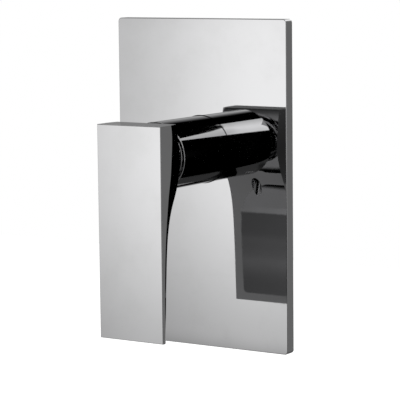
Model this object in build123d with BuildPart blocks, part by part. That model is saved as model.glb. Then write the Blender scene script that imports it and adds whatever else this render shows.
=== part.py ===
"""Concealed single-lever shower mixer: in-wall valve, cover plate, sleeve, cartridge and lever.

Millimetres. The origin is on the valve axis at the finished wall, +Z is up and the lever faces -Y,
so a plane "out" from the wall is Plane.XZ.offset(distance) and a sketch on it has x = X and y = Z.
"""

import os
from math import radians, tan

from build123d import *

os.makedirs("parts", exist_ok=True)

# Fits and gaps
running_gap = 0.05  # shaft in bore, disc on disc
slide_gap = 0.1  # each side of a sliding block
ball_gap = 0.2  # stem ball in its pocket
hand_gap = 0.3  # pieces pushed together by hand
ring_gap = 0.35  # shadow gap between sleeve and cover plate

# Cover plate: a folded tray, its open back on the wall
plate_width = 120
plate_height = 200
plate_depth = 7
plate_drop = 21  # plate centre below the valve axis
plate_sheet = 1.5
plate_corner = 2.2
plate_edge = 0.4
collar_wall = 3.2
collar_length = 4.6
gasket_width = 9

# Sleeve between plate and lever
sleeve_radius = 20.5
sleeve_wall = 1.5
sleeve_out = 56.6
sleeve_rim = 0.5

# Ring seals
ring_section = 2.4
ring_squeeze = 0.3
port_ring = 1.3
rotor_ring = 1.3

# Lever: flat front, deep head, thin blade
lever_width = 44.2
lever_top = 20.5
lever_bottom = -105
lever_front = 83.7
lever_edge = 0.35
back_inset = 1.4  # the flanks lean in towards the back
flank_depths = [(lever_top, 10.9), (0, 11), (-9, 10), (-18, 8.1), (-27, 6.6), (-36, 5.3)]
flank_tail = [(-48, 4), (-62, 3.1), (-80, 2.5)]
blade_flank = 2.2
head_depths = [(lever_top, 18.4), (12, 20.3), (2, 21.6), (-5, 21.7), (-12, 20), (-19, 17.3)]
neck_depths = [(-26, 13.7), (-33, 10.9), (-40, 9.1), (-50, 7.6), (-66, 6.4)]
blade_depth = 4.7
crown_slope = 0.3  # how the back swells below the top edge
foot_slope = -0.04  # how it still thins at the foot
front_skin = 4.7  # metal in front of the stem socket

# Grub screw that grips the stem, reached from below
grub_radius = 3
grub_length = 10
grub_key = 3
grub_mouth = 3.5
grub_thread = 12
grub_lean = 12  # degrees
grub_out = 76.8

# Cartridge
cartridge_radius = 14
chamber_radius = 12.6
neck_radius = 12.6
rotor_radius = 10.95
seat_out = 8
base_height = 10
disc_height = 3.5
slider_height = 3
slider_radius = 10.2
slider_offset = 1.8
carrier_height = 2.8
boss_height = 3.1
boss_width = 12
boss_length = 11
flange_height = 3.8
rotor_end = 44
shoulder_out = 38
neck_height = 3.5
port_radius = 2.6
inlet_x = 6
inlet_z = -4.6
outlet_z = 6.2

# Stem and its pivot
pivot_out = 38
pin_radius = 1.5
pin_length = 20.4
stem_square = 8
stem_flat = 7
stem_waist = 3.4
stem_shoulder = 47.5
stem_swing = 7.6  # half length of the slot that the stem swings in
ball_arm = 9.5
ball_radius = 2.8

# Nut and cap ring in front of the cartridge
thread_radius = 15.9
nut_height = 5.8
nut_lip = 3
cap_seat = 36
cap_wall = 1.3
cap_opening = 13.6
cap_rise = 1.1

# In-wall body
body_radius = 21
body_front = -4
body_back = -37
port_level = -21
port_span = 72
boss_radius = 13.5
thread_bore = 9.3  # G 1/2 female
thread_length = 14
passage_radius = 4.2
passage_stop = 5.6
outlet_stop = 3
flange_size = 56
flange_thick = 4
flange_corner = 6
screw_radius = 2.6

# Places that follow from the sizes above
sleeve_bore = sleeve_radius - sleeve_wall
snout_radius = sleeve_bore - hand_gap
ring_groove = sleeve_bore - ring_section + ring_squeeze
plate_hole = sleeve_radius + ring_gap
tray_floor = plate_depth - plate_sheet
collar_back = tray_floor - collar_length
collar_radius = plate_hole + collar_wall
seal_back = collar_back + (collar_length - ring_section) / 2
seal_radius = sleeve_radius + ring_section - ring_squeeze
disc_out = seat_out + base_height
slider_out = disc_out + disc_height + running_gap
carrier_out = slider_out + slider_height
boss_out = carrier_out + carrier_height
rotor_out = boss_out + hand_gap
slot_out = boss_out + boss_height + slide_gap
flange_out = rotor_out + flange_height
chamber_out = flange_out + slide_gap
ball_out = pivot_out - ball_arm
neck_out = shoulder_out + neck_height
nut_out = cap_seat - nut_height
cap_radius = sleeve_bore - 2 * slide_gap
nut_shank = cap_radius - cap_wall
thread_out = nut_out - hand_gap
screw_spacing = flange_size - 2 * flange_corner  # each hole shares its corner's centre
head_half = lever_width / 2
socket_out = lever_front - front_skin
grub_tip = grub_radius * tan(radians(grub_lean))
grub_axis = Plane((0, -grub_out, -stem_square / 2), x_dir=(1, 0, 0),
                  z_dir=Vector(0, 0, -1).rotate(Axis.X, grub_lean))


def ring(inner, outer, back, depth):
    """Sketch a flat ring on the plane at distance back and extrude it outwards."""
    with BuildSketch(Plane.XZ.offset(back)) as face:
        Circle(outer)
        Circle(inner, mode=Mode.SUBTRACT)
    extrude(face.sketch, amount=depth)


def three_ports(radius, back, depth, mode):
    """Two inlets and the outlet, as drilled or printed along the valve axis."""
    with BuildSketch(Plane.XZ.offset(back)) as holes:
        with Locations((-inlet_x, inlet_z), (inlet_x, inlet_z), (0, outlet_z)):
            Circle(radius)
    extrude(holes.sketch, amount=depth, mode=mode)


# Cover plate: tray, collar round the sleeve, groove for its ring seal
with BuildPart() as cover_plate:
    with BuildSketch(Plane.XZ):
        with Locations((0, -plate_drop)):
            RectangleRounded(plate_width, plate_height, plate_corner)
    extrude(amount=plate_depth)
    front_rim = cover_plate.faces().sort_by(Axis.Y)[0].edges()
    fillet(front_rim, plate_edge)
    with BuildSketch(Plane.XZ):
        with Locations((0, -plate_drop)):
            RectangleRounded(plate_width - 2 * plate_sheet, plate_height - 2 * plate_sheet,
                             plate_corner - plate_sheet)
    extrude(amount=tray_floor, mode=Mode.SUBTRACT)
    with BuildSketch(Plane.XZ.offset(collar_back)):
        Circle(collar_radius)
    extrude(amount=collar_length)
    with BuildSketch(Plane.XZ):
        Circle(plate_hole)
    extrude(amount=plate_depth, mode=Mode.SUBTRACT)
    with BuildSketch(Plane.XZ.offset(seal_back)):
        Circle(seal_radius)
    extrude(amount=ring_section, mode=Mode.SUBTRACT)
cover_plate.part.label = "cover_plate"
export_step(cover_plate.part, "parts/cover_plate.step")

# Foam strip that lines the tray and meets the wall
with BuildPart() as plate_gasket:
    with BuildSketch(Plane.XZ):
        with Locations((0, -plate_drop)):
            Rectangle(plate_width - 2 * plate_sheet - 2 * hand_gap,
                      plate_height - 2 * plate_sheet - 2 * hand_gap)
            Rectangle(plate_width - 2 * plate_sheet - 2 * hand_gap - 2 * gasket_width,
                      plate_height - 2 * plate_sheet - 2 * hand_gap - 2 * gasket_width,
                      mode=Mode.SUBTRACT)
    extrude(amount=tray_floor)
plate_gasket.part.label = "plate_gasket"
export_step(plate_gasket.part, "parts/plate_gasket.step")

# Ring seal between the plate's collar and the sleeve
with BuildPart() as plate_seal:
    ring(sleeve_radius, seal_radius, seal_back, ring_section)
plate_seal.part.label = "plate_seal"
export_step(plate_seal.part, "parts/plate_seal.step")

# Sleeve, pushed over the snout until it meets the in-wall body
with BuildPart() as sleeve:
    ring(sleeve_bore, sleeve_radius, body_front, sleeve_out - body_front)
    rim = sleeve.faces().sort_by(Axis.Y)[0].edges().sort_by(SortBy.RADIUS)[-1]
    fillet(rim, sleeve_rim)
sleeve.part.label = "sleeve"
export_step(sleeve.part, "parts/sleeve.step")

# In-wall body: round block, three threaded bosses, back flange and snout
with BuildPart() as valve_body:
    with BuildSketch(Plane.XZ.offset(body_back)):
        Circle(body_radius)
    extrude(amount=body_front - body_back)
    with BuildSketch(Plane.XZ.offset(body_back)):
        RectangleRounded(flange_size, flange_size, flange_corner)
    extrude(amount=flange_thick)
    with BuildSketch(Plane.YZ):
        with Locations((-port_level, 0)):
            Circle(boss_radius)
    extrude(amount=port_span / 2, both=True)
    with BuildSketch(Plane.XY):
        with Locations((0, -port_level)):
            Circle(boss_radius)
    extrude(amount=port_span / 2)
    with BuildSketch(Plane.XZ.offset(body_front)):
        Circle(snout_radius)
    extrude(amount=thread_out - body_front)
    with BuildSketch(Plane.XZ.offset(thread_out)):
        Circle(thread_radius)
    extrude(amount=shoulder_out - thread_out)
    with BuildSketch(Plane.XZ.offset(seat_out)):
        Circle(cartridge_radius + hand_gap / 2)
    extrude(amount=shoulder_out - seat_out, mode=Mode.SUBTRACT)
    # threaded mouths, then narrower passages in to the cartridge ports
    for side in (-1, 1):
        with BuildSketch(Plane.YZ.offset(side * port_span / 2)):
            with Locations((-port_level, 0)):
                Circle(thread_bore)
        extrude(amount=-side * thread_length, mode=Mode.SUBTRACT)
        with BuildSketch(Plane.YZ.offset(side * passage_stop)):
            with Locations((-port_level, 0)):
                Circle(passage_radius)
        extrude(amount=side * (port_span / 2 - passage_stop), mode=Mode.SUBTRACT)
    with BuildSketch(Plane.XY.offset(port_span / 2)):
        with Locations((0, -port_level)):
            Circle(thread_bore)
    extrude(amount=-thread_length, mode=Mode.SUBTRACT)
    with BuildSketch(Plane.XY.offset(outlet_stop)):
        with Locations((0, -port_level)):
            Circle(passage_radius)
    extrude(amount=port_span / 2 - outlet_stop, mode=Mode.SUBTRACT)
    three_ports(port_radius, port_level, seat_out - port_level, Mode.SUBTRACT)
    with BuildSketch(Plane.XZ.offset(body_back)):
        with GridLocations(screw_spacing, screw_spacing, 2, 2):
            Circle(screw_radius)
    extrude(amount=flange_thick, mode=Mode.SUBTRACT)
    for groove in (seat_out + ring_section, thread_out - 2 * ring_section):
        with BuildSketch(Plane.XZ.offset(groove)):
            Circle(snout_radius)
            Circle(ring_groove, mode=Mode.SUBTRACT)
        extrude(amount=ring_section, mode=Mode.SUBTRACT)
valve_body.part.label = "valve_body"
export_step(valve_body.part, "parts/valve_body.step")

# Two ring seals that hold the sleeve on the snout
with BuildPart() as sleeve_seals:
    for groove in (seat_out + ring_section, thread_out - 2 * ring_section):
        ring(ring_groove, sleeve_bore, groove, ring_section)
sleeve_seals.part.label = "sleeve_seals"
export_step(sleeve_seals.part, "parts/sleeve_seals.step")

# Cartridge base with a ring seal round each port
with BuildPart() as cartridge_base:
    with BuildSketch(Plane.XZ.offset(seat_out)):
        Circle(chamber_radius - slide_gap)
    extrude(amount=base_height)
    three_ports(port_radius + hand_gap + port_ring, seat_out, port_ring, Mode.SUBTRACT)
    three_ports(port_radius + hand_gap, seat_out, port_ring, Mode.ADD)
    three_ports(port_radius, seat_out, base_height, Mode.SUBTRACT)
cartridge_base.part.label = "cartridge_base"
export_step(cartridge_base.part, "parts/cartridge_base.step")

with BuildPart() as base_seals:
    three_ports(port_radius + hand_gap + port_ring, seat_out, port_ring, Mode.ADD)
    three_ports(port_radius + hand_gap, seat_out, port_ring, Mode.SUBTRACT)
base_seals.part.label = "base_seals"
export_step(base_seals.part, "parts/base_seals.step")

# Cartridge shell: chamber for the discs, neck for the rotor
with BuildPart() as cartridge_shell:
    with BuildSketch(Plane.XZ.offset(seat_out)):
        Circle(cartridge_radius)
    extrude(amount=shoulder_out - seat_out)
    with BuildSketch(Plane.XZ.offset(shoulder_out)):
        Circle(neck_radius)
    extrude(amount=neck_height)
    with BuildSketch(Plane.XZ.offset(seat_out)):
        Circle(chamber_radius)
    extrude(amount=chamber_out - seat_out, mode=Mode.SUBTRACT)
    with BuildSketch(Plane.XZ.offset(chamber_out)):
        Circle(rotor_radius + running_gap)
    extrude(amount=neck_out - chamber_out, mode=Mode.SUBTRACT)
cartridge_shell.part.label = "cartridge_shell"
export_step(cartridge_shell.part, "parts/cartridge_shell.step")

# Fixed ceramic disc
with BuildPart() as lower_disc:
    with BuildSketch(Plane.XZ.offset(disc_out)):
        Circle(chamber_radius - slide_gap)
    extrude(amount=disc_height)
    three_ports(port_radius, disc_out, disc_height, Mode.SUBTRACT)
lower_disc.part.label = "lower_disc"
export_step(lower_disc.part, "parts/lower_disc.step")

# Sliding ceramic disc: a blind mixing pocket that reaches the inlets when the lever is raised
with BuildPart() as upper_disc:
    with BuildSketch(Plane.XZ.offset(slider_out)):
        with Locations((0, slider_offset)):
            Circle(slider_radius)
    extrude(amount=slider_height)
    with BuildSketch(Plane.XZ.offset(slider_out)):
        with Locations((0, outlet_z - port_radius / 2)):
            RectangleRounded(2 * inlet_x, outlet_z + port_radius, port_radius)
    extrude(amount=slider_height / 2, mode=Mode.SUBTRACT)
upper_disc.part.label = "upper_disc"
export_step(upper_disc.part, "parts/upper_disc.step")

# Carrier that pushes the sliding disc, with a pocket for the stem ball
with BuildPart() as disc_carrier:
    with BuildSketch(Plane.XZ.offset(carrier_out)):
        with Locations((0, slider_offset)):
            Circle(slider_radius)
    extrude(amount=carrier_height)
    with BuildSketch(Plane.XZ.offset(boss_out)):
        Rectangle(boss_width, boss_length)
    extrude(amount=boss_height)
    with BuildSketch(Plane.XZ.offset(ball_out - ball_radius - hand_gap)):
        Rectangle(2 * (ball_radius + ball_gap), 2 * (ball_radius + ball_gap))
    extrude(amount=boss_out + boss_height - ball_out + ball_radius + hand_gap, mode=Mode.SUBTRACT)
disc_carrier.part.label = "disc_carrier"
export_step(disc_carrier.part, "parts/disc_carrier.step")

# Rotor: turns in the shell's neck, guides the carrier and holds the stem's pivot pin
with BuildPart() as cartridge_rotor:
    with BuildSketch(Plane.XZ.offset(rotor_out)):
        Circle(chamber_radius - running_gap)
    extrude(amount=flange_height)
    with BuildSketch(Plane.XZ.offset(flange_out)):
        Circle(rotor_radius)
    extrude(amount=rotor_end - flange_out)
    with BuildSketch(Plane.XZ.offset(rotor_out)):
        Rectangle(boss_width + 2 * slide_gap, 2 * chamber_radius)
    extrude(amount=slot_out - rotor_out, mode=Mode.SUBTRACT)
    with BuildSketch(Plane.XZ.offset(slot_out)):
        Rectangle(stem_flat + 2 * slide_gap, 2 * stem_swing)
    extrude(amount=rotor_end - slot_out, mode=Mode.SUBTRACT)
    with BuildSketch(Plane.XZ.offset(chamber_out + rotor_ring)):
        Circle(rotor_radius)
        Circle(rotor_radius - rotor_ring, mode=Mode.SUBTRACT)
    extrude(amount=rotor_ring, mode=Mode.SUBTRACT)
    with BuildSketch(Plane.YZ):
        with Locations((-pivot_out, 0)):
            Circle(pin_radius)
    extrude(amount=rotor_radius, both=True, mode=Mode.SUBTRACT)
cartridge_rotor.part.label = "cartridge_rotor"
export_step(cartridge_rotor.part, "parts/cartridge_rotor.step")

with BuildPart() as rotor_seal:
    ring(rotor_radius - rotor_ring, rotor_radius - hand_gap, chamber_out + rotor_ring, rotor_ring)
rotor_seal.part.label = "rotor_seal"
export_step(rotor_seal.part, "parts/rotor_seal.step")

with BuildPart() as stem_pin:
    with BuildSketch(Plane.YZ):
        with Locations((-pivot_out, 0)):
            Circle(pin_radius)
    extrude(amount=pin_length / 2, both=True)
stem_pin.part.label = "stem_pin"
export_step(stem_pin.part, "parts/stem_pin.step")

# Stem: square tang in the lever, flat round the pivot, waist and ball in the carrier
with BuildPart() as stem:
    with BuildSketch(Plane.XZ.offset(stem_shoulder)):
        Rectangle(stem_square, stem_square)
    extrude(amount=socket_out - stem_shoulder)
    with BuildSketch(Plane.XZ.offset(pivot_out - stem_square / 2)):
        Rectangle(stem_flat, stem_square)
    extrude(amount=stem_shoulder - pivot_out + stem_square / 2)
    with BuildSketch(Plane.XZ.offset(ball_out)):
        Rectangle(stem_waist, stem_waist)
    extrude(amount=ball_arm)
    with BuildSketch(Plane.XY):
        with Locations((0, -ball_out)):
            Circle(ball_radius)
            Rectangle(2 * ball_radius, 2 * ball_radius, align=(Align.MAX, Align.CENTER),
                      mode=Mode.SUBTRACT)
    revolve(axis=Axis.Y)
    with BuildSketch(Plane.YZ):
        with Locations((-pivot_out, 0)):
            Circle(pin_radius + running_gap)
    extrude(amount=stem_flat, both=True, mode=Mode.SUBTRACT)
stem.part.label = "stem"
export_step(stem.part, "parts/stem.step")

# Nut that clamps the cartridge on its seat
with BuildPart() as cartridge_nut:
    with BuildSketch(Plane.XZ.offset(nut_out)):
        Circle(snout_radius)
    extrude(amount=nut_height)
    with BuildSketch(Plane.XZ.offset(cap_seat)):
        Circle(nut_shank)
    extrude(amount=shoulder_out + nut_lip - cap_seat)
    with BuildSketch(Plane.XZ.offset(nut_out)):
        Circle(thread_radius)
    extrude(amount=shoulder_out - nut_out, mode=Mode.SUBTRACT)
    with BuildSketch(Plane.XZ.offset(shoulder_out)):
        Circle(neck_radius + hand_gap)
    extrude(amount=nut_lip, mode=Mode.SUBTRACT)
cartridge_nut.part.label = "cartridge_nut"
export_step(cartridge_nut.part, "parts/cartridge_nut.step")

# Domed cap ring, seen in the gap behind the lever
with BuildPart() as cap_ring:
    with BuildSketch(Plane.XY):
        with BuildLine():
            rise = sleeve_out - sleeve_rim
            Polyline((nut_shank, -rise + cap_wall), (nut_shank, -cap_seat), (cap_radius, -cap_seat),
                     (cap_radius, -rise))
            Spline((cap_radius, -rise), (cap_opening, -sleeve_out - cap_rise),
                   tangents=[(-0.6, -1), (-1, 0)])
            Line((cap_opening, -sleeve_out - cap_rise), (cap_opening, -sleeve_out - cap_rise + cap_wall))
            Spline((cap_opening, -sleeve_out - cap_rise + cap_wall), (nut_shank, -rise + cap_wall),
                   tangents=[(1, 0), (0.6, 1)])
        make_face()
    revolve(axis=Axis.Y)
cap_ring.part.label = "cap_ring"
export_step(cap_ring.part, "parts/cap_ring.step")


def lever_outline(stations, last_depth):
    """Side outline of the lever: straight front, top and foot, and a back that flows through stations."""
    back = [(depth - lever_front, height) for height, depth in stations]
    foot = (last_depth - lever_front, lever_bottom)
    with BuildLine() as outline:
        Line((-lever_front, lever_bottom), (-lever_front, lever_top))
        Line((-lever_front, lever_top), back[0])
        Spline(*back, foot, tangents=[(crown_slope, -1), (foot_slope, -1)])
        Line(foot, (-lever_front, lever_bottom))
    make_face(outline.edges())


# Lever: lofted from flank to flank, so each flank leans in towards the back
with BuildPart() as lever:
    with BuildSketch(Plane.YZ.offset(-head_half)):
        lever_outline(flank_depths + flank_tail, blade_flank)
    with BuildSketch(Plane.YZ.offset(-head_half + back_inset)):
        lever_outline(head_depths + neck_depths, blade_depth)
    loft(ruled=True)
    with BuildSketch(Plane.YZ.offset(head_half)):
        lever_outline(flank_depths + flank_tail, blade_flank)
    with BuildSketch(Plane.YZ.offset(head_half - back_inset)):
        lever_outline(head_depths + neck_depths, blade_depth)
    loft(ruled=True)
    with BuildSketch(Plane.YZ.offset(-head_half + back_inset)):
        lever_outline(head_depths + neck_depths, blade_depth)
    extrude(amount=lever_width - 2 * back_inset)
    front = lever.faces().filter_by(Axis.Y).sort_by(Axis.Y)[0]
    fillet(front.edges(), lever_edge)
    with BuildSketch(Plane.XZ.offset(pivot_out)):
        Rectangle(stem_square, stem_square)
    extrude(amount=socket_out - pivot_out, mode=Mode.SUBTRACT)
    with BuildSketch(grub_axis):
        Circle(grub_radius)
    extrude(amount=grub_thread, mode=Mode.SUBTRACT)
    with BuildSketch(grub_axis.offset(grub_thread)):
        Circle(grub_mouth)
    extrude(amount=-lever_bottom / 2, mode=Mode.SUBTRACT)
lever.part.label = "lever"
export_step(lever.part, "parts/lever.step")

with BuildPart() as grub_screw:
    with BuildSketch(grub_axis.offset(grub_tip)):
        Circle(grub_radius)
    extrude(amount=grub_length)
    with BuildSketch(grub_axis.offset(grub_tip + grub_length)):
        RegularPolygon(grub_key / 2, 6, major_radius=False)
    extrude(amount=-grub_key, mode=Mode.SUBTRACT)
grub_screw.part.label = "grub_screw"
export_step(grub_screw.part, "parts/grub_screw.step")
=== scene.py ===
"""Finishes, studio and camera for the concealed shower mixer.

Metres, in the model's own frame: the wall is the plane y = 0, +Z is up and the lever faces -Y.
"""

import math

import bpy
import numpy as np
from mathutils import Matrix, Vector


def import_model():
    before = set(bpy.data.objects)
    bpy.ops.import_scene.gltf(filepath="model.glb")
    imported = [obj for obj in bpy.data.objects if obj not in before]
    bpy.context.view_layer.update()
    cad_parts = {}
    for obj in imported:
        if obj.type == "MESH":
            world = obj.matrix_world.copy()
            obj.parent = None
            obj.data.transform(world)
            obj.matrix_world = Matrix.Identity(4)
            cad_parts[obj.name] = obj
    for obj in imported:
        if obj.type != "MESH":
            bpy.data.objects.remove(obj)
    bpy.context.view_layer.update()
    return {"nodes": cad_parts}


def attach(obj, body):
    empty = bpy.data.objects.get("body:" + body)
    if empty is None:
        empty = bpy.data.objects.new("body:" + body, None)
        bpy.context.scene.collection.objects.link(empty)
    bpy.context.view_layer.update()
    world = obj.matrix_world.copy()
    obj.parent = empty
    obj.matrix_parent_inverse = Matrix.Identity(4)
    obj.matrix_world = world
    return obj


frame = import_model()
nodes = frame["nodes"]

# Camera: to the right of the mixer and a little above it, with a long lens
camera_yaw = math.radians(32.92)
camera_pitch = math.radians(7.2)
camera_roll = math.radians(-0.63)
camera_target = Vector((-0.00584, 0, -0.0322))
camera_distance = 1.205
camera_lens = 176.94

# Studio
floor_level = -0.65
floor_reach = 3.2
cards_front = -1.0  # the cards in front of the mixer stand in this plane
tent_radius = 2.2
cloth_reach = 2.2

# In-wall body, as the model has it
port_level = 0.021
port_reach = 0.036
bore_radius = 0.0093
thread_length = 0.014
thread_pitch = 0.001814  # G 1/2
thread_height = 0.0006
thread_start = 0.0008  # from the port's mouth
thread_runout = 0.0015
thread_clearance = 0.00002
points_per_turn = 56
points_per_flank = 7
snout_back = 0.004  # the snout is machined up to here
body_back = 0.037


# Node helpers


class Wiring:
    """A node tree with short words for adding nodes and links."""

    def __init__(self, tree):
        self.tree = tree

    def add(self, kind, **settings):
        node = self.tree.nodes.new(kind)
        for name, value in settings.items():
            setattr(node, name, value)
        return node

    def put(self, value, socket):
        """Link an output to a socket, or set the socket to a plain value."""
        if isinstance(value, bpy.types.NodeSocket):
            self.tree.links.new(value, socket)
        else:
            socket.default_value = value

    def maths(self, operation, first, second=0.0, clamp=False):
        node = self.add("ShaderNodeMath", operation=operation, use_clamp=clamp)
        self.put(first, node.inputs[0])
        self.put(second, node.inputs[1])
        return node.outputs[0]

    def ramp(self, value, start, stop, low=0.0, high=1.0, kind="SMOOTHSTEP"):
        """From low at start to high at stop, smooth or LINEAR, and level outside them."""
        node = self.add("ShaderNodeMapRange", interpolation_type=kind)
        for place, item in enumerate((value, start, stop, low, high)):
            self.put(item, node.inputs[place])
        return node.outputs[0]

    def noise(self, vector, scale, detail=2.0, roughness=0.5):
        node = self.add("ShaderNodeTexNoise")
        self.put(vector, node.inputs["Vector"])
        self.put(scale, node.inputs["Scale"])
        node.inputs["Detail"].default_value = detail
        node.inputs["Roughness"].default_value = roughness
        return node.outputs["Fac"]

    def mix_colour(self, factor, first, second):
        node = self.add("ShaderNodeMix", data_type="RGBA")
        self.put(factor, node.inputs["Factor"])
        self.put(first, node.inputs[6])
        self.put(second, node.inputs[7])
        return node.outputs[2]

    def bump(self, height, strength, distance):
        node = self.add("ShaderNodeBump")
        self.put(height, node.inputs["Height"])
        node.inputs["Strength"].default_value = strength
        node.inputs["Distance"].default_value = distance
        return node.outputs["Normal"]

    def stretched(self, vector, scale):
        """The vector with each axis scaled by its own amount."""
        node = self.add("ShaderNodeVectorMath", operation="MULTIPLY")
        self.put(vector, node.inputs[0])
        node.inputs[1].default_value = scale
        return node.outputs[0]


def new_group(name, inputs, outputs):
    """A shader node group with named inputs (name, value) and float outputs."""
    tree = bpy.data.node_groups.new(name, "ShaderNodeTree")
    tree.interface.new_socket("Place", in_out="INPUT", socket_type="NodeSocketVector")
    for label, value in inputs:
        socket = tree.interface.new_socket(label, in_out="INPUT", socket_type="NodeSocketFloat")
        socket.default_value = value
    for label in outputs:
        tree.interface.new_socket(label, in_out="OUTPUT", socket_type="NodeSocketFloat")
    wires = Wiring(tree)
    return wires, wires.add("NodeGroupInput"), wires.add("NodeGroupOutput")


def polish_group():
    """Polished metal: Haze is where hands and cloths have dulled it, Waviness its faint unevenness."""
    wires, given, made = new_group("polish", [("Haze Size", 40.0), ("Wave Size", 30.0)],
                                   ["Haze", "Waviness"])
    place = given.outputs["Place"]
    clouds = wires.noise(place, given.outputs["Haze Size"], 4.0, 0.6)
    specks = wires.noise(place, 2600.0, 2.0)
    haze = wires.maths("ADD", wires.ramp(clouds, 0.42, 0.75, 0.0, 0.8),
                       wires.ramp(specks, 0.6, 0.85, 0.0, 0.25))
    wires.put(haze, made.inputs["Haze"])
    wires.put(wires.noise(place, given.outputs["Wave Size"], 1.0), made.inputs["Waviness"])
    return wires.tree


def grain_group():
    """Grainy skin of a casting, a moulding or foam: Grain is its height, Mottle a slower change of tone."""
    wires, given, made = new_group("grain", [("Grain Size", 900.0), ("Mottle Size", 60.0)],
                                   ["Grain", "Mottle"])
    place = given.outputs["Place"]
    coarse = wires.noise(place, given.outputs["Grain Size"], 4.0, 0.65)
    wires.put(coarse, made.inputs["Grain"])
    mottle = wires.noise(place, given.outputs["Mottle Size"], 3.0)
    wires.put(wires.ramp(mottle, 0.3, 0.7), made.inputs["Mottle"])
    return wires.tree


def turning_group():
    """Fine rings left by a lathe about the valve axis: Rings is their height."""
    wires, given, made = new_group("turning", [("Ring Pitch", 0.00025)], ["Rings"])
    parts = wires.add("ShaderNodeSeparateXYZ")
    wires.put(given.outputs["Place"], parts.inputs[0])
    across = wires.maths("SQRT", wires.maths("ADD", wires.maths("POWER", parts.outputs["X"], 2.0),
                                             wires.maths("POWER", parts.outputs["Z"], 2.0)))
    travel = wires.maths("ADD", across, parts.outputs["Y"])
    turns = wires.maths("DIVIDE", travel, given.outputs["Ring Pitch"])
    wave = wires.maths("SINE", wires.maths("MULTIPLY", turns, 2 * math.pi))
    uneven = wires.noise(wires.stretched(given.outputs["Place"], (300, 4000, 300)), 1.0, 3.0)
    wires.put(wires.maths("MULTIPLY", wave, uneven), made.inputs["Rings"])
    return wires.tree


polish = polish_group()
grain = grain_group()
turning = turning_group()


# Materials


def start_material(name):
    """A node material with its Principled shader, Object coordinates and output."""
    material = bpy.data.materials.new(name)
    material.use_nodes = True
    material.node_tree.nodes.clear()
    wires = Wiring(material.node_tree)
    shader = wires.add("ShaderNodeBsdfPrincipled")
    output = wires.add("ShaderNodeOutputMaterial")
    wires.put(shader.outputs["BSDF"], output.inputs["Surface"])
    place = wires.add("ShaderNodeTexCoord").outputs["Object"]
    return material, wires, shader, place


def placed_group(wires, tree, place, **values):
    """A group node at these coordinates; its values are given with underscores for spaces."""
    node = wires.add("ShaderNodeGroup", node_tree=tree)
    wires.put(place, node.inputs["Place"])
    for name, value in values.items():
        node.inputs[name.replace("_", " ")].default_value = value
    return node.outputs


def chrome(name, tone=0.58, smooth=0.02, haze=0.03, haze_size=40.0, wave=0.00002):
    """Bright chrome plate over polished metal."""
    material, wires, shader, place = start_material(name)
    worn = placed_group(wires, polish, place, Haze_Size=haze_size)
    shader.inputs["Metallic"].default_value = 1.0
    bright = (tone, tone, tone * 1.01, 1)
    dull = (tone * 0.95, tone * 0.95, tone * 0.955, 1)
    wires.put(wires.mix_colour(worn["Haze"], bright, dull), shader.inputs["Base Color"])
    wires.put(wires.ramp(worn["Haze"], 0.0, 1.0, smooth, smooth + haze), shader.inputs["Roughness"])
    wires.put(wires.bump(worn["Waviness"], 0.25, wave), shader.inputs["Normal"])
    return material


def cast_brass(name):
    """Sand-cast brass, machined where y, x or z lies past a joint face."""
    material, wires, shader, place = start_material(name)
    skin = placed_group(wires, grain, place, Grain_Size=1500.0, Mottle_Size=70.0)
    cut = placed_group(wires, turning, place, Ring_Pitch=0.0004)
    parts = wires.add("ShaderNodeSeparateXYZ")
    wires.put(place, parts.inputs[0])
    edge = 0.0002
    snout = wires.ramp(parts.outputs["Y"], snout_back + edge, snout_back - edge)
    ends = wires.ramp(wires.maths("ABSOLUTE", parts.outputs["X"]), port_reach - 2 * edge, port_reach - edge)
    top = wires.ramp(parts.outputs["Z"], port_reach - 2 * edge, port_reach - edge)
    back = wires.ramp(parts.outputs["Y"], body_back - 2 * edge, body_back - edge)
    machined = wires.maths("MAXIMUM", wires.maths("MAXIMUM", snout, back), wires.maths("MAXIMUM", ends, top))
    shader.inputs["Metallic"].default_value = 1.0
    skin_tone = wires.mix_colour(skin["Mottle"], (0.52, 0.40, 0.20, 1), (0.68, 0.54, 0.29, 1))
    wires.put(wires.mix_colour(machined, skin_tone, (0.83, 0.68, 0.40, 1)), shader.inputs["Base Color"])
    rough = wires.ramp(skin["Grain"], 0.3, 0.7, 0.38, 0.56)
    wires.put(wires.ramp(machined, 0.0, 1.0, rough, 0.24), shader.inputs["Roughness"])
    as_cast = wires.maths("SUBTRACT", 1.0, machined)
    height = wires.maths("ADD", wires.maths("MULTIPLY", skin["Grain"], as_cast),
                         wires.maths("MULTIPLY", cut["Rings"], wires.maths("MULTIPLY", machined, 0.06)))
    wires.put(wires.bump(height, 0.7, 0.0003), shader.inputs["Normal"])
    return material


def turned_metal(name, dark, bright, roughness, pitch=0.0003):
    """Metal from a lathe: fine rings and a little stain."""
    material, wires, shader, place = start_material(name)
    cut = placed_group(wires, turning, place, Ring_Pitch=pitch)
    skin = placed_group(wires, grain, place, Grain_Size=2500.0, Mottle_Size=120.0)
    shader.inputs["Metallic"].default_value = 1.0
    wires.put(wires.mix_colour(skin["Mottle"], dark, bright), shader.inputs["Base Color"])
    wires.put(wires.ramp(skin["Grain"], 0.3, 0.7, roughness, roughness + 0.08), shader.inputs["Roughness"])
    wires.put(wires.bump(cut["Rings"], 0.4, 0.00003), shader.inputs["Normal"])
    return material


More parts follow.
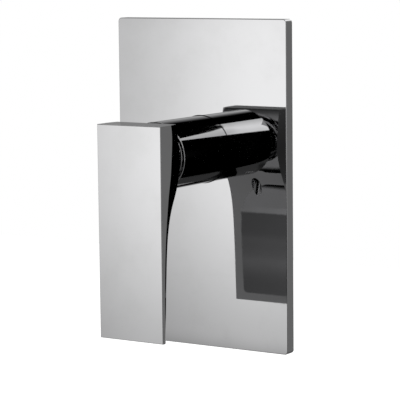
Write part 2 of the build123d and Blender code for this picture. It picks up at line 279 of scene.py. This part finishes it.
def moulded(name, dark, bright, roughness, grain_size, depth, specular=0.5):
    """Moulded plastic, rubber, foam or ceramic: a grain of its own size and depth."""
    material, wires, shader, place = start_material(name)
    skin = placed_group(wires, grain, place, Grain_Size=grain_size, Mottle_Size=90.0)
    shader.inputs["Specular IOR Level"].default_value = specular
    wires.put(wires.mix_colour(skin["Mottle"], dark, bright), shader.inputs["Base Color"])
    rough = wires.ramp(skin["Grain"], 0.3, 0.7, roughness - 0.06, roughness + 0.06)
    wires.put(rough, shader.inputs["Roughness"])
    wires.put(wires.bump(skin["Grain"], 0.6, depth), shader.inputs["Normal"])
    return material


def foam(name):
    """Closed-cell foam: small round cells, cut open at the surface."""
    material, wires, shader, place = start_material(name)
    cells = wires.add("ShaderNodeTexVoronoi", feature="F1")
    wires.put(place, cells.inputs["Vector"])
    cells.inputs["Scale"].default_value = 1400.0
    skin = placed_group(wires, grain, place, Grain_Size=800.0, Mottle_Size=60.0)
    depth = wires.ramp(cells.outputs["Distance"], 0.1, 0.6)
    shader.inputs["Specular IOR Level"].default_value = 0.2
    base = wires.mix_colour(skin["Mottle"], (0.07, 0.07, 0.075, 1), (0.105, 0.105, 0.11, 1))
    # The open cells' hollows are painted darker: painted shade in the hollows, over the foam's own mottled
    # tone.
    wires.put(wires.mix_colour(depth, (0.04, 0.04, 0.043, 1), base), shader.inputs["Base Color"])
    wires.put(wires.ramp(depth, 0.0, 1.0, 0.95, 0.8), shader.inputs["Roughness"])
    wires.put(wires.bump(depth, 0.6, 0.0002), shader.inputs["Normal"])
    return material


rubber = moulded("seal_rubber_skin", (0.018, 0.018, 0.018, 1), (0.034, 0.034, 0.034, 1),
                 roughness=0.55, grain_size=1800.0, depth=0.00004, specular=0.4)
dark_plastic = moulded("dark_plastic_skin", (0.09, 0.09, 0.095, 1), (0.13, 0.13, 0.135, 1),
                       roughness=0.5, grain_size=2200.0, depth=0.00005)
white_plastic = moulded("white_plastic_skin", (0.74, 0.74, 0.71, 1), (0.82, 0.82, 0.80, 1),
                        roughness=0.42, grain_size=1600.0, depth=0.00004)
ceramic = moulded("lapped_ceramic", (0.84, 0.82, 0.77, 1), (0.90, 0.88, 0.84, 1),
                  roughness=0.16, grain_size=4000.0, depth=0.00001, specular=0.6)
steel = turned_metal("machined_steel", (0.52, 0.52, 0.53, 1), (0.66, 0.66, 0.67, 1), 0.26)
brass = turned_metal("turned_brass_skin", (0.70, 0.55, 0.29, 1), (0.82, 0.66, 0.37, 1), 0.24)
body_brass = cast_brass("cast_brass_skin")

finishes = {
    "cover_plate": chrome("plate_chrome"),
    "sleeve": chrome("sleeve_chrome"),
    "cap_ring": chrome("cap_chrome"),
    "lever": chrome("lever_chrome"),
    "plate_gasket": foam("foam_strip"),
    "valve_body": body_brass,
    "cartridge_nut": brass,
    "cartridge_shell": white_plastic,
    "disc_carrier": white_plastic,
    "cartridge_base": dark_plastic,
    "cartridge_rotor": dark_plastic,
    "lower_disc": ceramic,
    "upper_disc": ceramic,
}
for seal in ("plate_seal", "sleeve_seals", "base_seals", "rotor_seal"):
    finishes[seal] = rubber
for pin in ("stem", "stem_pin", "grub_screw"):
    finishes[pin] = steel
for name, finish in finishes.items():
    for place in nodes[name].material_slots:
        place.material = finish


# New pieces


def grid_mesh(name, points, closed_round=False):
    """A mesh from points[row, column, xyz]: one quad between each four neighbours."""
    rows, columns = points.shape[:2]
    index = np.arange(rows * columns).reshape(rows, columns)
    if closed_round:
        index = np.concatenate([index, index[:, :1]], axis=1)
    corners = [index[:-1, :-1], index[:-1, 1:], index[1:, 1:], index[1:, :-1]]
    quads = np.stack(corners, axis=-1).reshape(-1, 4)
    mesh = bpy.data.meshes.new(name)
    mesh.from_pydata(points.reshape(-1, 3).tolist(), [], quads.tolist())
    mesh.polygons.foreach_set("use_smooth", np.ones(len(mesh.polygons), bool))
    mesh.update()
    piece = bpy.data.objects.new(name, mesh)
    bpy.context.scene.collection.objects.link(piece)
    return piece


def female_thread(name, mouth, axis):
    """Pipe thread inside a port.

    On a grid of (turn angle a, distance s along one flank profile) the radius is
    bore - clearance - height * profile(s), and the place along the axis is pitch * a / 2 pi + s,
    so one profile carried round the bore draws the whole helix.
    """
    axis = np.array(axis, float)
    side = np.cross(axis, (0.0, 1.0, 0.0))
    turns = (thread_length - thread_runout) / thread_pitch - 1
    angle = np.linspace(0, 2 * math.pi * turns, int(points_per_turn * turns))[:, None]
    step = np.linspace(0, 1, points_per_flank)[None, :]
    profile = 0.5 - 0.5 * np.cos(2 * math.pi * step)
    radius = bore_radius - thread_clearance - thread_height * profile
    depth = thread_start + thread_pitch * (angle / (2 * math.pi) + step)
    outward = side * np.cos(angle)[..., None] + np.array((0, 1.0, 0)) * np.sin(angle)[..., None]
    points = np.array(mouth) - axis * depth[..., None] + radius[..., None] * outward
    return grid_mesh(name, points)


ports = {
    "hot_thread": ((-port_reach, port_level, 0), (-1, 0, 0)),
    "cold_thread": ((port_reach, port_level, 0), (1, 0, 0)),
    "shower_thread": ((0, port_level, port_reach), (0, 0, 1)),
}
for name, (mouth, axis) in ports.items():
    thread = female_thread(name, mouth, axis)
    thread.data.materials.append(brass)
    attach(thread, "housing")


# Studio: what the polished metal sees


def glow(name, tone):
    """A light-giving material for a card; tone gets the wiring and the Object coordinates."""
    material = bpy.data.materials.new(name)
    material.use_nodes = True
    material.node_tree.nodes.clear()
    wires = Wiring(material.node_tree)
    light = wires.add("ShaderNodeEmission")
    output = wires.add("ShaderNodeOutputMaterial")
    wires.put(light.outputs[0], output.inputs["Surface"])
    parts = wires.add("ShaderNodeSeparateXYZ")
    wires.put(wires.add("ShaderNodeTexCoord").outputs["Object"], parts.inputs[0])
    x, y, z = (parts.outputs[axis] for axis in "XYZ")
    wires.put(tone(wires, x, y, z), light.inputs["Strength"])
    return material


def only_in_metal(piece, name, tone):
    """Studio cards are seen in polished surfaces only."""
    piece.data.materials.append(glow(name, tone))
    piece.visible_camera = False
    piece.visible_diffuse = False
    piece.visible_shadow = False
    piece.visible_volume_scatter = False


def card(name, corner, across, up, tone):
    """A flat card from one corner and two edges."""
    corner, across, up = (np.array(v, float) for v in (corner, across, up))
    points = np.array([[corner, corner + across], [corner + up, corner + across + up]])
    only_in_metal(grid_mesh(name, points), name, tone)


def depth_behind(wires, x, y):
    """Distance behind the mixer, counted from further forward on its right."""
    right = wires.maths("MULTIPLY", wires.maths("MAXIMUM", x, 0.0), 0.8)
    return wires.maths("ADD", y, right)


def behind(wires, x, y):
    """0 in front of the mixer, 1 behind it and well to its right."""
    return wires.ramp(depth_behind(wires, x, y), -0.1, 0.1)


def rear_grey(wires, x):
    """The grey of the cloth behind, lighter on the left."""
    return wires.ramp(x, -1.0, 0.5, 0.28, 0.205)


def tent(wires, x, y, z):
    """Black in front, grey behind, light from above at the back, and a glimmer in front on the right."""
    rear = wires.ramp(z, 0.6, 1.4, rear_grey(wires, x), 1.0)
    glimmer = wires.maths("MULTIPLY", wires.ramp(x, 0.9, 1.2),
                          wires.ramp(depth_behind(wires, x, y), -0.84, 0.1, 0.0, 0.085, kind="LINEAR"))
    return wires.maths("MAXIMUM", wires.maths("MULTIPLY", behind(wires, x, y), rear), glimmer)


def tent_mesh():
    """A sphere round the mixer, by azimuth a and elevation e."""
    azimuth = np.linspace(0, 2 * math.pi, 97)[:-1][None, :]
    elevation = np.radians(np.linspace(-89.5, 89.5, 60))[:, None]
    directions = [np.sin(azimuth) * np.cos(elevation), -np.cos(azimuth) * np.cos(elevation),
                  np.sin(elevation) + 0 * azimuth]
    return grid_mesh("tent", tent_radius * np.stack(directions, axis=-1), closed_round=True)


def cloth(wires, x, y, z):
    """The cloth over the floor: grey behind, darkest straight behind, and lit in front and on the left.

    The part near the mixer on the left lights the neck in the lever's mirror image.
    """
    middle = wires.maths("MULTIPLY", wires.ramp(x, -0.45, -0.25), wires.ramp(x, 0.5, 0.25))
    grey = wires.ramp(middle, 0.0, 1.0, rear_grey(wires, x), 0.11)
    rear = wires.maths("MULTIPLY", behind(wires, x, y), grey)
    left = wires.ramp(x, -0.75, -1.2, 0.0, 0.6)
    front = wires.maths("MULTIPLY", wires.ramp(x, -0.50, -0.40), wires.ramp(x, 0.10, 0.02))
    front = wires.maths("MULTIPLY", front, wires.ramp(y, -0.6, -0.9, 0.0, 0.4))
    front = wires.maths("MULTIPLY", front, wires.ramp(y, -1.50, -1.25))
    near = wires.maths("MULTIPLY", wires.ramp(x, -0.40, -0.48), wires.ramp(y, -0.38, -0.50, 0.0, 0.5))
    lit = wires.maths("MAXIMUM", wires.maths("MAXIMUM", left, near), front)
    lit = wires.maths("MULTIPLY", lit, wires.ramp(y, -0.05, -0.3))
    return wires.maths("MAXIMUM", rear, lit)


def slant_cut(wires, x, z):
    """0 to the lower right of a slanting line across the foot of the cards, 1 to its left."""
    return wires.ramp(wires.maths("SUBTRACT", x, wires.maths("MULTIPLY", z, 0.39)), -0.404, -0.398, 1.0, 0.0)


def plate_scrim(wires, x, y, z):
    """The card that lights the plate.

    Brightest at its upper right; it fades down, up and to the left, with a dim band above the
    middle. Below what the open plate sees, a shaded band darkens the back of the lever's mirror
    image, and the lower right corner is cut off on a slant.
    """
    peak = wires.ramp(z, -0.25, -0.38, 1.42, 1.32)
    across = wires.ramp(x, -0.79, -0.545, 0.86, peak)
    down = wires.ramp(z, -0.10, -0.40, 1.0, 0.55)
    foot = wires.maths("MAXIMUM", slant_cut(wires, x, z), wires.ramp(z, -0.475, -0.462))
    shade = wires.maths("MULTIPLY", wires.ramp(z, -0.33, -0.40), wires.ramp(z, -0.53, -0.49))
    foot = wires.maths("MULTIPLY", foot, wires.ramp(shade, 0.0, 1.0, 1.0, 0.35))
    top = wires.ramp(z, 0.02, 0.56, 1.0, 0.0, kind="LINEAR")
    side = wires.ramp(x, -0.50, -0.34, 1.0, 0.0)
    band = wires.maths("MULTIPLY", wires.ramp(z, 0.05, 0.09), wires.ramp(z, 0.22, 0.16))
    dim = wires.maths("MULTIPLY", band, wires.ramp(x, -0.75, -0.57, 0.40, 0.85))
    lit = wires.maths("MULTIPLY", wires.maths("MULTIPLY", across, down), wires.maths("MULTIPLY", foot, top))
    lit = wires.maths("MULTIPLY", lit, wires.maths("SUBTRACT", 1.0, dim))
    return wires.maths("MULTIPLY", lit, side)


def low_scrim(wires, x, y, z):
    """An even card below the plate's card, cut off on a slant at the right."""
    return wires.maths("MULTIPLY", 0.5, slant_cut(wires, x, z))


def lever_scrim(wires, x, y, z):
    """Brighter to the right; fades down."""
    across = wires.ramp(x, -1.02, -0.86, 0.96, 1.52)
    down = wires.ramp(z, -0.15, -0.46, 1.0, 0.48)
    return wires.maths("MULTIPLY", across, down)


def front_scrim(wires, x, y, z):
    """Straight in front; soft at all its edges."""
    wide = wires.maths("MULTIPLY", wires.ramp(x, -0.50, -0.42), wires.ramp(x, 0.16, 0.06))
    tall = wires.maths("MULTIPLY", wires.ramp(z, -0.19, -0.08), wires.ramp(z, 0.44, 0.30))
    return wires.maths("MULTIPLY", wires.maths("MULTIPLY", wide, tall), 1.2)


def side_scrim(wires, x, y, z):
    """On the left and the right; soft at all its edges, and narrower on the right."""
    front = wires.ramp(x, -1.0, 1.0, -1.25, -0.95)
    inwards = wires.maths("SUBTRACT", y, front)
    wide = wires.maths("MULTIPLY", wires.ramp(inwards, 0.0, 0.15), wires.ramp(y, -0.15, -0.4))
    tall = wires.maths("MULTIPLY", wires.ramp(z, -0.55, -0.3), wires.ramp(z, 1.15, 0.8))
    return wires.maths("MULTIPLY", wide, tall)


def rear_panel(wires, x, y, z):
    """Soft light behind, for the in-wall body; it fades at its sides and foot."""
    sides = wires.ramp(wires.maths("ABSOLUTE", x), 0.5, 0.25)
    return wires.maths("MULTIPLY", wires.maths("MULTIPLY", sides, wires.ramp(z, -0.25, 0.1)), 1.5)


def strip_card():
    """A bright card above and to the right; its top edge falls away to the right."""
    left, right, foot = 0.02, 0.47, 0.33
    edge = np.array([(left, 0.658), (0.12, 0.64), (0.20, 0.622), (0.30, 0.607), (0.40, 0.602),
                     (right, 0.598)])
    top = np.stack([edge[:, 0], cards_front + 0 * edge[:, 0], edge[:, 1]], axis=-1)
    bottom = top * (1, 1, 0) + (0, 0, foot)

    def tone(wires, x, y, z):
        rise = wires.ramp(x, left - 0.06, 0.27, 0.85, 1.8, kind="LINEAR")
        fall = wires.ramp(x, 0.33, right, 1.0, 0.84, kind="LINEAR")
        slant = wires.maths("ADD", z, wires.maths("MULTIPLY", x, 0.7))
        far = wires.ramp(slant, 0.76, 0.80, 1.0, 0.7)
        return wires.maths("MULTIPLY", wires.maths("MULTIPLY", rise, fall), far)

    only_in_metal(grid_mesh("strip_card", np.stack([bottom, top])), "strip_card", tone)


only_in_metal(tent_mesh(), "tent", tent)
card("cloth", (-cloth_reach, -cloth_reach, floor_level + 0.01), (2 * cloth_reach, 0, 0),
     (0, 2 * cloth_reach, 0), cloth)
card("plate_scrim", (-0.83, cards_front, -0.60), (0.50, 0, 0), (0, 0, 1.16), plate_scrim)
card("low_scrim", (-0.95, cards_front - 0.01, -1.20), (0.40, 0, 0), (0, 0, 0.78), low_scrim)
card("front_scrim", (-0.50, cards_front - 0.02, -0.26), (0.68, 0, 0), (0, 0, 0.70), front_scrim)
card("left_scrim", (-1.6, -1.25, -0.55), (0, 1.1, 0), (0, 0, 1.7), side_scrim)
card("right_scrim", (1.6, -0.95, -0.55), (0, 0.8, 0), (0, 0, 1.7), side_scrim)
card("rear_panel", (-0.5, 1.3, -0.25), (1.0, 0, 0), (0, 0, 1.35), rear_panel)
card("lever_scrim", (-1.10, cards_front, -0.50), (0.268, 0, 0), (0, 0, 0.60), lever_scrim)
strip_card()


def floor():
    """A plain pale floor, white to the camera and in metal, that keeps the mixer's shadow."""
    reach = floor_reach
    points = np.array([[(-reach, -reach, floor_level), (reach, -reach, floor_level)],
                       [(-reach, reach, floor_level), (reach, reach, floor_level)]])
    piece = grid_mesh("floor", points)
    material, wires, shader, place = start_material("pale_floor")
    skin = placed_group(wires, grain, place, Grain_Size=60.0, Mottle_Size=2.0)
    pale = wires.mix_colour(skin["Mottle"], (0.88, 0.88, 0.88, 1), (0.9, 0.9, 0.9, 1))
    wires.put(pale, shader.inputs["Base Color"])
    shader.inputs["Roughness"].default_value = 0.9
    shader.inputs["Specular IOR Level"].default_value = 0.1
    shader.inputs["Emission Color"].default_value = (1, 1, 1, 1)
    rays = wires.add("ShaderNodeLightPath").outputs
    seen = wires.maths("MAXIMUM", wires.maths("MAXIMUM", rays["Is Camera Ray"], rays["Is Glossy Ray"]),
                       rays["Is Transmission Ray"])
    wires.put(wires.maths("MULTIPLY", seen, 0.6), shader.inputs["Emission Strength"])
    piece.data.materials.append(material)


def world():
    """White to the camera and in metal; a soft even light on everything else."""
    made = bpy.data.worlds.new("studio")
    bpy.context.scene.world = made
    made.use_nodes = True
    made.node_tree.nodes.clear()
    wires = Wiring(made.node_tree)
    rays = wires.add("ShaderNodeLightPath").outputs
    seen = wires.maths("MAXIMUM", wires.maths("MAXIMUM", rays["Is Camera Ray"], rays["Is Glossy Ray"]),
                       rays["Is Transmission Ray"])
    light = wires.add("ShaderNodeBackground")
    light.inputs["Color"].default_value = (1, 1, 1, 1)
    wires.put(wires.ramp(seen, 0.0, 1.0, 0.55, 1.0), light.inputs["Strength"])
    wires.put(light.outputs[0], wires.add("ShaderNodeOutputWorld").inputs["Surface"])


def lamp(name, place, width, power):
    """A soft square lamp aimed at the mixer."""
    data = bpy.data.lights.new(name, "AREA")
    data.shape = "SQUARE"
    data.size = width
    data.energy = power
    piece = bpy.data.objects.new(name, data)
    bpy.context.scene.collection.objects.link(piece)
    piece.location = place
    piece.rotation_euler = (camera_target - Vector(place)).to_track_quat("-Z", "Y").to_euler()
    piece.visible_glossy = False


floor()
world()
lamp("key_lamp", (-1.1, -1.3, 1.2), 0.9, 18)
lamp("fill_lamp", (1.4, -0.8, 0.6), 1.2, 8)
lamp("rear_lamp", (0.4, 1.5, 1.0), 1.0, 10)


# Camera

forward = Vector((-math.sin(camera_yaw) * math.cos(camera_pitch),
                  math.cos(camera_yaw) * math.cos(camera_pitch), -math.sin(camera_pitch)))
level = Vector((math.cos(camera_yaw), math.sin(camera_yaw), 0))
upright = level.cross(forward)
right = level * math.cos(camera_roll) + upright * math.sin(camera_roll)
up = upright * math.cos(camera_roll) - level * math.sin(camera_roll)
camera_data = bpy.data.cameras.new("camera")
camera_data.lens = camera_lens
camera_data.sensor_width = 36
camera = bpy.data.objects.new("camera", camera_data)
bpy.context.scene.collection.objects.link(camera)
camera.matrix_world = Matrix.Translation(camera_target - forward * camera_distance) @ Matrix(
    (right, up, -forward)).transposed().to_4x4()
bpy.context.scene.camera = camera
bpy.context.scene.view_settings.view_transform = "Standard"
